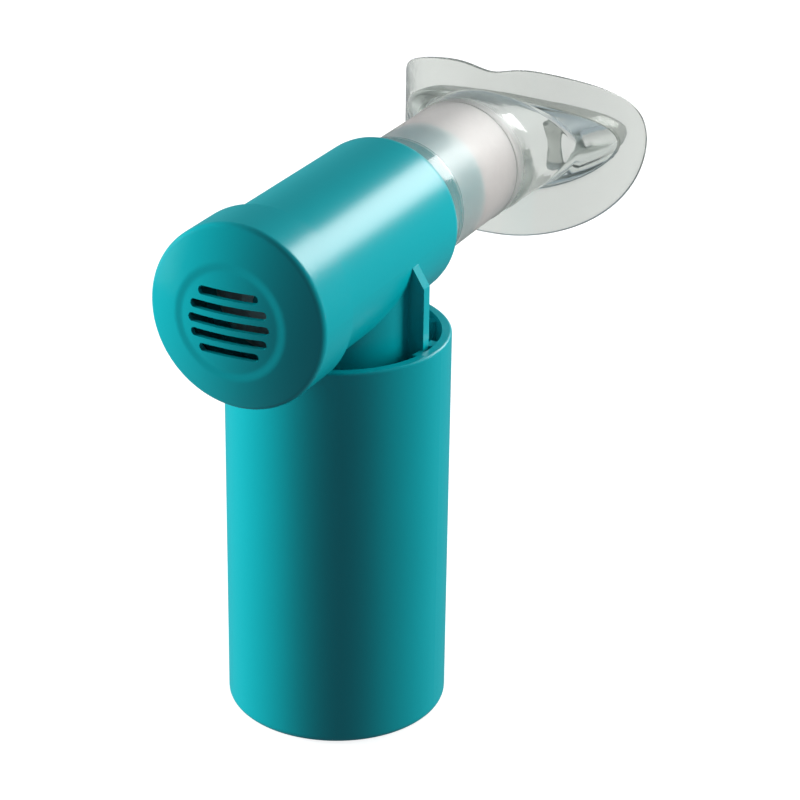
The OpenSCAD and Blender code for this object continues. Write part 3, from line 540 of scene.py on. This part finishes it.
class MouthpieceForm:
    """Outlines of the mouthpiece, in metres, from its sizes."""

    def __init__(self, sizes):
        self.s = sizes
        self.t = np.linspace(0, 2 * np.pi, sizes.segments, endpoint=False)
        self.tube_far = TUBE_HIGH[1]
        self.shield_y = self.tube_far + sizes.shield_stand_off

    def on_sheet(self, uv, off):
        """Bent sheet: flat to |u| = flat, then an arc of radius R - off turned by (|u| - flat) / R."""
        s = self.s
        u, v = uv[..., 0], uv[..., 1]
        bend = np.maximum(np.abs(u) - s.shield_flat, 0) / s.shield_bend_radius
        r = s.shield_bend_radius - off
        x = np.sign(u) * (np.minimum(np.abs(u), s.shield_flat) + r * np.sin(bend))
        y = self.shield_y + off + r * (1 - np.cos(bend))
        return np.stack(np.broadcast_arrays(x, y, AXIS_H + v), -1)

    def sheet_y(self, x):
        """Depth of the sheet at distance x: shield_y + R - sqrt(R^2 - over^2), with over = |x| - flat."""
        s = self.s
        most_share = 0.97
        over = np.clip(np.abs(x) - s.shield_flat, 0, most_share * s.shield_bend_radius)
        return self.shield_y + s.shield_bend_radius - np.sqrt(s.shield_bend_radius**2 - over**2)

    def unbent(self, points):
        """Sheet lengths (u, v) of points in space: u = flat + R asin(over / R), v = height over the axis."""
        s = self.s
        x = points[..., 0]
        over = np.maximum(np.abs(x) - s.shield_flat, 0)
        u = np.minimum(np.abs(x), s.shield_flat) + s.shield_bend_radius * np.arcsin(
            np.minimum(over / s.shield_bend_radius, 1)
        )
        return np.stack([np.sign(x) * u, points[..., 2] - AXIS_H], -1)

    def edge(self, inset):
        """Shield outline: half ellipses above and below, less the notch depth times exp(-(u / notch)^2)."""
        s, t = self.s, self.t
        r = np.where(
            np.sin(t) > 0,
            ellipse_r(t, s.shield_half_width, s.shield_up),
            ellipse_r(t, s.shield_half_width, s.shield_down),
        )
        dip = s.notch_depth * np.exp(-((r * np.cos(t) / s.notch_half_width) ** 2))
        r = np.where(np.sin(t) > 0, r - dip, r) - inset
        return flat_oval(t, r, r) + [0, -s.shield_drop]

    def oval(self, width, height, y):
        """Upright oval (width cos t, y, height sin t) about the tube's axis."""
        t = self.t
        width, height, y = (np.reshape(a, (-1, 1)) for a in (width, height, y))
        return np.stack(np.broadcast_arrays(width * np.cos(t), y, AXIS_H + height * np.sin(t)), -1)

    def rim(self, spread, rise):
        """Mouth rim outline, pushed straight back: an oval grown by spread, at a rise off the sheet."""
        s = self.s
        spread, rise = np.reshape(spread, (-1, 1)), np.reshape(rise, (-1, 1))
        x = (s.rim_half_width + spread) * np.cos(self.t)
        z = (s.rim_half_height + spread) * np.sin(self.t)
        ends = s.rim_end_height * rise / s.rim_height * (x / s.rim_half_width) ** 2
        return np.stack([x, self.sheet_y(x) + rise + ends, AXIS_H + z], -1)

    def flare(self, near, far, shares):
        """Quarter ellipse from near to far: across by 1 - cos(90 share), along Y by sin(90 share)."""
        angle = np.radians(90 * np.asarray(shares))[:, None, None]
        mix = np.concatenate([1 - np.cos(angle), np.sin(angle), 1 - np.cos(angle)], -1)
        return near + (far - near) * mix

    def loop(self):
        """All outlines in order: grip, tube, shoulder, neck, shield, mouth rim, slot and bore."""
        s = self.s
        r, near, far = s.tube_radius, TUBE_LOW[1], self.tube_far
        bore = r - s.tube_wall
        half = s.shield_thickness / 2
        quarter = np.radians(np.linspace(0, 90, 6))
        edge = s.cuff_round
        cuff_r = r + s.cuff_height - edge * (1 - np.sin(quarter))
        cuff_near = self.oval(cuff_r, cuff_r, near + edge * (1 - np.cos(quarter)))
        back_r = cuff_r[::-1]
        cuff_far = self.oval(back_r, back_r, near + s.cuff_end - edge * (1 - np.cos(quarter[::-1])))
        step = self.oval([r, r], [r, r], [near + s.cuff_end, near + s.cuff_end + edge])
        bead = np.radians(np.linspace(0, 180, 9))
        bead_r = r + s.bead_height * np.sin(bead)
        end_bead = self.oval(bead_r, bead_r, far - s.bead_width * (1 + np.cos(bead)) / 2)
        # the shoulder starts a little behind the bead and swells by the smooth step 3 e^2 - 2 e^3
        start_share = 0.12
        ease = np.linspace(start_share, 1, 9)
        smooth = ease**2 * (3 - 2 * ease)
        shoulder = self.oval(
            r + s.shoulder_spread * smooth, r - s.shoulder_squeeze * smooth, far + s.shoulder_length * ease
        )
        t = self.t
        root_uv = flat_oval(t, s.neck_half_width, s.neck_half_height)
        root = self.on_sheet(root_uv, -half)
        neck = self.flare(shoulder[-1], root, np.linspace(0, 1, 18)[1:])
        shares = np.linspace(0, 1, 15)[1:, None, None]
        border = self.edge(s.edge_round)
        front = self.on_sheet(root_uv * (1 - shares) + border * shares, -half)
        turn = np.radians(np.linspace(-90, 90, 10))[1:-1]
        cut = [
            self.on_sheet(
                self.edge(s.edge_round * (1 - math.cos(a))),
                math.copysign(half - s.edge_round, a) + s.edge_round * math.sin(a),
            )
            for a in turn
        ]
        fillet = np.radians(np.linspace(0, 90, 6))
        foot = self.rim(
            s.rim_draft + s.rim_fillet * (1 - np.sin(fillet)), half + s.rim_fillet * (1 - np.cos(fillet))
        )
        foot_uv = self.unbent(foot[0])
        back = self.on_sheet(border * (1 - shares) + foot_uv * shares, half)[:-1]
        back = np.concatenate([self.on_sheet(border, half)[None], back])
        rise = np.linspace(half + s.rim_fillet, s.rim_height - s.rim_wall / 2, 6)[1:]
        outer = self.rim(s.rim_draft * (1 - (rise - half) / s.rim_height), rise)
        top = np.radians(np.linspace(0, 180, 10))[1:]
        lip_top = self.rim(
            s.rim_wall / 2 * (np.cos(top) - 1), s.rim_height - s.rim_wall / 2 + s.rim_wall / 2 * np.sin(top)
        )
        slot = self.on_sheet(flat_oval(t, s.slot_half_width, s.slot_half_height), 0.0)
        inward = np.linspace(0, 1, 7)[1:-1, None, None]
        inner = lip_top[-1] * (1 - inward) + slot * inward
        bore_end = self.oval(bore, bore, far)[0]
        throat = self.flare(bore_end, slot, np.linspace(1, 0, 20))
        grip = r - s.grip_wall
        grip_end = SPIGOT_END + s.spigot_gap
        bore_r = [bore, bore, grip, grip]
        step_end = grip_end + s.bore_step
        bore_y = [step_end + s.spigot_gap / 3, step_end, grip_end, near + edge]
        grip_bore = self.oval(bore_r, bore_r, bore_y)
        mouth = self.oval(grip, grip, near)
        outside = [mouth, cuff_near, cuff_far, step, end_bead, shoulder, neck, front, cut, back]
        inside = [foot, outer, lip_top, inner, throat, grip_bore]
        return np.concatenate(outside + inside)

    def post(self, side):
        """Waisted bite post: radius r (1 - waist (1 - (z / half)^2)^2), its two edges rounded."""
        s = self.s
        far_x = s.post_distance + s.post_radius
        over = far_x - s.shield_flat
        far_u = s.shield_flat + s.shield_bend_radius * math.asin(over / s.shield_bend_radius)
        half = s.slot_half_height * math.sqrt(1 - (far_u / s.slot_half_width) ** 2) - s.post_gap
        post_y = self.sheet_y(far_x) + s.post_radius / 2 + s.post_gap
        z = half * np.sin(np.radians(np.linspace(-90, 90, 33)))
        r = s.post_radius * (1 - s.post_waist * (1 - (z / half) ** 2) ** 2)
        # a high power keeps the round to the very ends, and a small share keeps them open
        edge_power, end_share = 24, 0.02
        rounding = np.sqrt(np.maximum(1 - (np.abs(z) / half) ** edge_power, 0.0))
        r = r * np.minimum(1, rounding + end_share)
        profile = np.stack([r, z], -1)
        return turned(profile, "Z", (side * s.post_distance, post_y, AXIS_H), 64)


# Operators, one for each group of pieces


class TRAINER_OT_shell(bpy.types.Operator):
    """Finish the moulded teal shell: handle cover, head, exhale cap, spigot and exhale valve seat"""

    bl_idname = "trainer.shell"
    bl_label = "Finish the shell"

    def execute(self, context):
        colours = context.scene.trainer_colours
        teal = moulded_plastic("satin_teal_abs", colours.teal)
        # the spigot and exhale valve seat take the teal that is lightened as painted light
        painted_light_teal = moulded_plastic("satin_deep_teal_abs", colours.deep_teal, 0.34)
        finish_nodes(["handle_cover", "head_shell", "exhale_cap"], teal)
        finish_nodes(["mouthpiece_spigot", "exhale_valve_seat"], painted_light_teal)
        return {"FINISHED"}


class TRAINER_OT_mouthpiece(bpy.types.Operator):
    """Build the clear silicone mouthpiece with its bite shield and posts"""

    bl_idname = "trainer.mouthpiece"
    bl_label = "Build the mouthpiece"

    def execute(self, context):
        sizes = context.scene.trainer_mouthpiece
        colours = context.scene.trainer_colours
        form = MouthpieceForm(sizes)
        clear = clear_silicone(
            "clear_platinum_silicone",
            colours.clear,
            colours.frosted,
            TUBE_LOW[1] + sizes.cuff_end,
            SPIGOT_END,
            form.tube_far,
            sizes.frost_fade,
        )
        new_piece(
            "mouthpiece_moulding",
            skin(form.loop(), True),
            clear,
            "mouthpiece",
            "clear_silicone",
            "mouthpiece_tube",
            "mouthpiece_flange",
            sharp=50.0,
        )
        posts = joined([skin(form.post(side), False) for side in (-1, 1)])
        new_piece("bite_post_pair", posts, clear, "mouthpiece", "clear_silicone", "bite_posts")
        return {"FINISHED"}


class TRAINER_OT_exhale_valve(bpy.types.Operator):
    """Build the exhale disc and the cap seal, and finish the retainer"""

    bl_idname = "trainer.exhale_valve"
    bl_label = "Build the exhale valve"

    def execute(self, context):
        sizes = context.scene.trainer_valves
        colours = context.scene.trainer_colours
        low, high = span("exhale_valve_disc")
        pin_r = sizes.pin_radius
        disc_r = (high[0] - low[0]) / 2
        middle = (0.0, 0.0, AXIS_H)
        # the disc thins to a flexible edge; its seat side at +Y stays flat
        along = np.linspace(0, 1, 24)
        reach = pin_r + (disc_r - pin_r) * along
        front = low[1] + (high[1] - low[1]) * sizes.disc_thinning * along**2
        edge = sizes.disc_edge
        seat_side = [[disc_r, high[1] - 2 * edge], [disc_r - edge, high[1]], [pin_r, high[1]]]
        profile = np.vstack([np.stack([reach, front], -1)[:-1], seat_side])
        silicone = valve_silicone("smoky_valve_silicone", colours.silicone)
        disc = skin(turned(profile, "Y", middle), True)
        new_piece("exhale_disc_skin", disc, silicone, "exhale_disc", "valve_silicone", "exhale_valve_disc")
        rubber = seal_rubber("moulded_nitrile_rubber", colours.rubber)
        low, high = span("exhale_cap_seal")
        r_out = (high[0] - low[0]) / 2
        r_in = r_out - sizes.cap_seal_width
        section = rounded_section(r_in, r_out, low[1], high[1], sizes.cap_seal_round)
        ring = skin(turned(section, "Y", middle), True)
        new_piece("cap_seal_ring", ring, rubber, "head", "seal_rubber", "exhale_cap_seal")
        white = moulded_plastic("white_acetal", colours.white, 0.3)
        finish_nodes(["exhale_disc_retainer"], white)
        return {"FINISHED"}


class TRAINER_OT_inlet_valve(bpy.types.Operator):
    """Build the inlet valve's soft seals and finish its seat and poppet"""

    bl_idname = "trainer.inlet_valve"
    bl_label = "Build the inlet valve"

    def execute(self, context):
        sizes = context.scene.trainer_valves
        colours = context.scene.trainer_colours
        white = moulded_plastic("white_polypropylene", colours.white, 0.34)
        finish_nodes(["inlet_valve_seat", "inlet_poppet"], white)
        silicone = valve_silicone("moulded_seal_silicone", colours.silicone)
        low, high = span("poppet_seal")
        hole_r = SPINDLE_HIGH[0] + sizes.poppet_hole_gap
        section = rounded_section(hole_r, high[0], low[2], high[2], sizes.poppet_seal_round)
        ring = skin(turned(section), True)
        new_piece("poppet_seal_ring", ring, silicone, "inlet_valve", "valve_silicone", "poppet_seal")
        rubber = seal_rubber("flat_nitrile_rubber", colours.rubber)
        low, high = span("inlet_seat_gasket")
        r_in = high[0] - sizes.gasket_width
        section = rounded_section(r_in, high[0], low[2], high[2], sizes.gasket_round)
        ring = skin(turned(section), True)
        new_piece("seat_gasket_ring", ring, rubber, "head", "seal_rubber", "inlet_seat_gasket")
        return {"FINISHED"}


class TRAINER_OT_load_spring(bpy.types.Operator):
    """Wind the load spring as one smooth wire"""

    bl_idname = "trainer.load_spring"
    bl_label = "Wind the load spring"

    def execute(self, context):
        sizes = context.scene.trainer_adjuster
        colours = context.scene.trainer_colours
        wire_r = sizes.wire / 2
        mean_r = (SPRING_HIGH[0] - SPRING_LOW[0]) / 2 - wire_r
        height = SPRING_HIGH[2] - SPRING_LOW[2]
        rise = height - sizes.wire
        turns = np.linspace(0, sizes.spring_turns, 44 * sizes.spring_turns + 1)
        close = sizes.end_rise * sizes.wire
        # centre line (R cos a, R sin a, z); z rises by the end rise in each end turn and evenly between
        level = np.interp(
            turns, [0, 1, sizes.spring_turns - 1, sizes.spring_turns], [0, close, rise - close, rise]
        )
        around = np.linspace(0, 2 * np.pi, 18, endpoint=False)
        angle = 2 * np.pi * turns[:, None]
        reach = mean_r + wire_r * np.cos(around)
        z = SPRING_LOW[2] + wire_r + level[:, None] + wire_r * np.sin(around)
        coil = skin(np.stack([reach * np.cos(angle), reach * np.sin(angle), z], -1), False)
        steel = machined_metal("drawn_spring_steel", colours.steel, 0.24)
        spring = new_piece("load_spring_coil", coil, steel, "head", "steel", "load_spring")
        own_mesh(spring)
        return {"FINISHED"}


class TRAINER_OT_adjuster(bpy.types.Operator):
    """Cut the spindle's thread and finish the knob, pointer, housing and small hardware"""

    bl_idname = "trainer.adjuster"
    bl_label = "Build the load adjuster"

    def execute(self, context):
        sizes = context.scene.trainer_adjuster
        colours = context.scene.trainer_colours
        low, high = SPINDLE_LOW[2], SPINDLE_HIGH[2]
        r = SPINDLE_HIGH[0]
        t = np.linspace(0, 2 * np.pi, 72, endpoint=False)
        z = np.linspace(low, high, int((high - low) / sizes.thread_step))
        # thread: r less depth times a trapezium of the phase z / lead - t / (2 pi), clipped to 0 and 1
        phase = (z[:, None] / sizes.thread_lead - t / (2 * np.pi)) % 1
        peak, flank_slope = 2.2, 6
        valley = np.clip(peak - flank_slope * np.abs(phase - 0.5), 0, 1)
        end = np.minimum(z - low, high - z)[:, None]
        chamfer = np.maximum(sizes.thread_chamfer - end, 0)
        reach = np.minimum(r - sizes.thread_depth * valley, r - chamfer)
        z = np.broadcast_to(z[:, None], reach.shape)
        thread = skin(np.stack([reach * np.cos(t), reach * np.sin(t), z], -1), False)
        steel = machined_metal("rolled_thread_steel", colours.steel, 0.3)
        new_piece("spindle_thread", thread, steel, "inlet_valve", "steel", "load_spindle")
        finish_nodes(["spindle_nut", "spindle_end_clip", "spring_top_washer", "thrust_washer"], steel)
        brass = machined_metal("turned_brass", colours.brass, 0.26, squeeze=12.0)
        finish_nodes(["knob_thread_insert"], brass)
        finish_nodes(["spring_housing"], moulded_plastic("grey_abs", colours.grey, 0.4))
        finish_nodes(["load_pointer"], moulded_plastic("orange_acetal", colours.orange, 0.33))
        knob = moulded_plastic("charcoal_textured_abs", colours.charcoal, 0.5, 0.5 * MM, 0.02 * MM)
        finish_nodes(["load_knob"], knob)
        return {"FINISHED"}


class TRAINER_OT_load_scale(bpy.types.Operator):
    """Finish the load scale and print its ticks and numbers"""

    bl_idname = "trainer.load_scale"
    bl_label = "Print the load scale"

    def execute(self, context):
        sizes = context.scene.trainer_scale
        colours = context.scene.trainer_colours
        finish_nodes(["load_scale"], moulded_plastic("white_scale_film", colours.white, 0.45))
        ink = moulded_plastic("black_scale_ink", colours.charcoal, 0.5)
        travel = joint_range("load_travel")
        start = span("load_pointer")[0][2] + sizes.pointer_mark
        angles, reaches = cylinder_places("load_scale")
        r = reaches.max()
        near = angles.min() + sizes.edge_margin / r
        # every step has a long tick, and a short one lies between two
        marks = np.arange(2 * sizes.steps + 1)
        levels = start + travel * marks / marks[-1]
        widths = np.where(marks % 2 == 0, sizes.long_tick, sizes.short_tick) / r
        ticks = [
            skin(tick_rings(near, width, level, r, sizes), False) for width, level in zip(widths, levels)
        ]
        new_piece("scale_ticks", joined(ticks), ink, "head", "charcoal_plastic")
        middle = near + sizes.number_place / r
        numbers = [
            number_mesh(step, middle, start + travel * step / sizes.steps, r, sizes)
            for step in range(0, sizes.steps + 1, 2)
        ]
        new_piece("scale_numbers", joined(numbers), ink, "head", "charcoal_plastic")
        return {"FINISHED"}


def tick_rings(near, width, level, r, sizes, steps=6):
    """Upright rectangles of a tick that wraps round the film: points (a cos t, a sin t, level + h)."""
    t = near + width * np.linspace(0, 1, steps)[:, None]
    a = r + np.array([-sizes.ink_depth, sizes.ink_height, sizes.ink_height, -sizes.ink_depth])
    h = sizes.tick_width / 2 * np.array([-1, -1, 1, 1])
    return np.stack(np.broadcast_arrays(a * np.cos(t), a * np.sin(t), level + h), -1)


def number_mesh(step, middle, level, r, sizes):
    """Points and triangles of one closed number, bent round the film.

    A letter point (a, b, c) lands at angle middle + a / r, radius r + c and height level + b.
    """
    curve = bpy.data.curves.new(f"number_{step}", "FONT")
    curve.body = str(step)
    curve.size = sizes.number_size
    curve.extrude = (sizes.ink_height + sizes.ink_depth) / 2
    curve.align_x = "CENTER"
    curve.align_y = "CENTER"
    letter = bpy.data.objects.new(f"number_{step}", curve)
    mesh = bpy.data.meshes.new_from_object(letter)
    solid = bmesh.new()
    solid.from_mesh(mesh)
    weld_gap = 0.0001 * MM
    bmesh.ops.remove_doubles(solid, verts=solid.verts, dist=weld_gap)
    bmesh.ops.triangulate(solid, faces=solid.faces)
    bmesh.ops.recalc_face_normals(solid, faces=solid.faces)
    solid.to_mesh(mesh)
    solid.free()
    places = np.zeros(len(mesh.vertices) * 3)
    mesh.vertices.foreach_get("co", places)
    triangles = np.zeros(len(mesh.polygons) * 3, int)
    mesh.polygons.foreach_get("vertices", triangles)
    a, b, c = places.reshape(-1, 3).T
    angle = middle + a / r
    reach = r + (sizes.ink_height - sizes.ink_depth) / 2 + c
    bpy.data.objects.remove(letter)
    bpy.data.curves.remove(curve)
    bpy.data.meshes.remove(mesh)
    points = np.stack([reach * np.cos(angle), reach * np.sin(angle), level + b], -1)
    return points, [triangles.reshape(-1, 3)]


def direction(turn, rise):
    """Unit vector (sin turn cos rise, -cos turn cos rise, sin rise): from -Y towards +X, then up."""
    return Vector((math.sin(turn) * math.cos(rise), -math.cos(turn) * math.cos(rise), math.sin(rise)))


class TRAINER_OT_stage(bpy.types.Operator):
    """Set the pale floor, the soft lights and the camera"""

    bl_idname = "trainer.stage"
    bl_label = "Set the stage"

    def execute(self, context):
        settings = context.scene.trainer_stage
        scene = context.scene
        half = settings.floor_half_width
        corners = [(-half, -half, 0.0), (half, -half, 0.0), (half, half, 0.0), (-half, half, 0.0)]
        mesh = bpy.data.meshes.new("floor")
        mesh.from_pydata(corners, [], [[0, 1, 2, 3]])
        mesh.materials.append(pale_floor("studio_paper"))
        floor = bpy.data.objects.new("floor", mesh)
        scene.collection.objects.link(floor)
        floor.visible_diffuse = False
        floor.visible_glossy = False

        azimuth, elevation = settings.azimuth, settings.elevation
        ahead = -direction(azimuth, elevation)
        side = ahead.cross(Vector((0, 0, 1))).normalized()
        up = side.cross(ahead)
        right = side * math.cos(settings.roll) + up * math.sin(settings.roll)
        up = up * math.cos(settings.roll) - side * math.sin(settings.roll)
        place = Vector((0, 0, settings.target_height)) - ahead * settings.distance
        place += right * settings.slide_right - up * settings.slide_down
        camera = bpy.data.objects.new("camera", bpy.data.cameras.new("camera"))
        camera.data.lens = settings.lens
        camera.data.sensor_width = settings.sensor
        facing = Matrix((right, up, -ahead)).transposed().to_4x4()
        camera.matrix_world = Matrix.Translation(place) @ facing
        scene.collection.objects.link(camera)
        scene.camera = camera

        # each softbox: turn from the camera's side, rise and roll in degrees, width and height in mm,
        # power, and whether smooth surfaces mirror it
        middle = Vector((0, settings.lamp_depth, settings.lamp_height))
        lamps = [
            ("left_softbox", -97, 6, 0, 350, 450, settings.left_power, False),
            ("right_softbox", 99, 8, 0, 240, 450, settings.right_power, False),
            ("back_softbox", 131.5, 27, 41, 270, 360, settings.back_power, True),
        ]
        for name, turn, rise, roll, width, height, power, glare in lamps:
            lamp = bpy.data.lights.new(name, "AREA")
            lamp.shape = "RECTANGLE"
            lamp.size, lamp.size_y = width * MM, height * MM
            lamp.energy = power
            outward = direction(azimuth + math.radians(turn), math.radians(rise))
            holder = bpy.data.objects.new(name, lamp)
            holder.location = middle + outward * settings.lamp_distance
            aim = (-outward).to_track_quat("-Z", "Y") @ Quaternion((0, 0, 1), math.radians(roll))
            holder.rotation_euler = aim.to_euler()
            holder.visible_transmission = False
            holder.visible_glossy = glare
            scene.collection.objects.link(holder)

        # the clear pieces see a white tent that starts beside the stage, fills in behind it and lights
        # nothing else
        tent_start, tent_full = -0.3, 0.5
        world = bpy.data.worlds.new("studio_air")
        world.use_nodes = True
        tree = world.node_tree
        towards = add(tree, "ShaderNodeTexCoord").outputs["Generated"]
        depth = add(
            tree,
            "ShaderNodeVectorMath",
            {0: towards, 1: (-math.sin(azimuth), math.cos(azimuth), 0.0)},
            operation="DOT_PRODUCT",
        )
        brightness = {
            "Value": depth.outputs["Value"],
            "From Min": tent_start,
            "From Max": tent_full,
            "To Min": settings.air_strength / 2,
            "To Max": settings.tent_strength,
        }
        tent = add(tree, "ShaderNodeMapRange", brightness)
        ray = add(tree, "ShaderNodeLightPath").outputs
        choice = {"Value": ray["Is Transmission Ray"], "To Min": settings.air_strength, "To Max": tent}
        lit = add(tree, "ShaderNodeMapRange", choice)
        # the camera sees a white backdrop where the floor ends
        strength = add(tree, "ShaderNodeMath", {0: lit, 1: ray["Is Camera Ray"]}, operation="MAXIMUM")
        background = tree.nodes["Background"]
        background.inputs["Color"].default_value = linear("#e2f1ff")
        tree.links.new(strength.outputs["Value"], background.inputs["Strength"])
        scene.world = world
        scene.view_settings.view_transform = "Standard"
        scene.view_settings.look = "None"
        return {"FINISHED"}


class TRAINER_PT_panel(bpy.types.Panel):
    """The trainer's operators, in the 3D view's sidebar"""

    bl_label = "Breathing Trainer"
    bl_idname = "TRAINER_PT_panel"
    bl_space_type = "VIEW_3D"
    bl_region_type = "UI"
    bl_category = "Trainer"

    def draw(self, context):
        for operator in OPERATORS:
            self.layout.operator(operator.bl_idname)


OPERATORS = (
    TRAINER_OT_shell,
    TRAINER_OT_mouthpiece,
    TRAINER_OT_exhale_valve,
    TRAINER_OT_inlet_valve,
    TRAINER_OT_load_spring,
    TRAINER_OT_adjuster,
    TRAINER_OT_load_scale,
    TRAINER_OT_stage,
)
SETTINGS = {
    "trainer_colours": TrainerColours,
    "trainer_mouthpiece": TrainerMouthpiece,
    "trainer_adjuster": TrainerAdjuster,
    "trainer_valves": TrainerValves,
    "trainer_scale": TrainerScale,
    "trainer_stage": TrainerStage,
}
CLASSES = (*SETTINGS.values(), *OPERATORS, TRAINER_PT_panel)


def register():
    """Registers the classes and hangs the settings on the scene."""
    for item in CLASSES:
        bpy.utils.register_class(item)
    for name, group in SETTINGS.items():
        setattr(bpy.types.Scene, name, PointerProperty(type=group))


def unregister():
    """Takes the settings off the scene and unregisters the classes."""
    for name in SETTINGS:
        delattr(bpy.types.Scene, name)
    for item in reversed(CLASSES):
        bpy.utils.unregister_class(item)


def main():
    """Builds everything in order."""
    register()
    for operator in OPERATORS:
        group, name = operator.bl_idname.split(".")
        getattr(getattr(bpy.ops, group), name)()


if __name__ == "__main__":
    main()
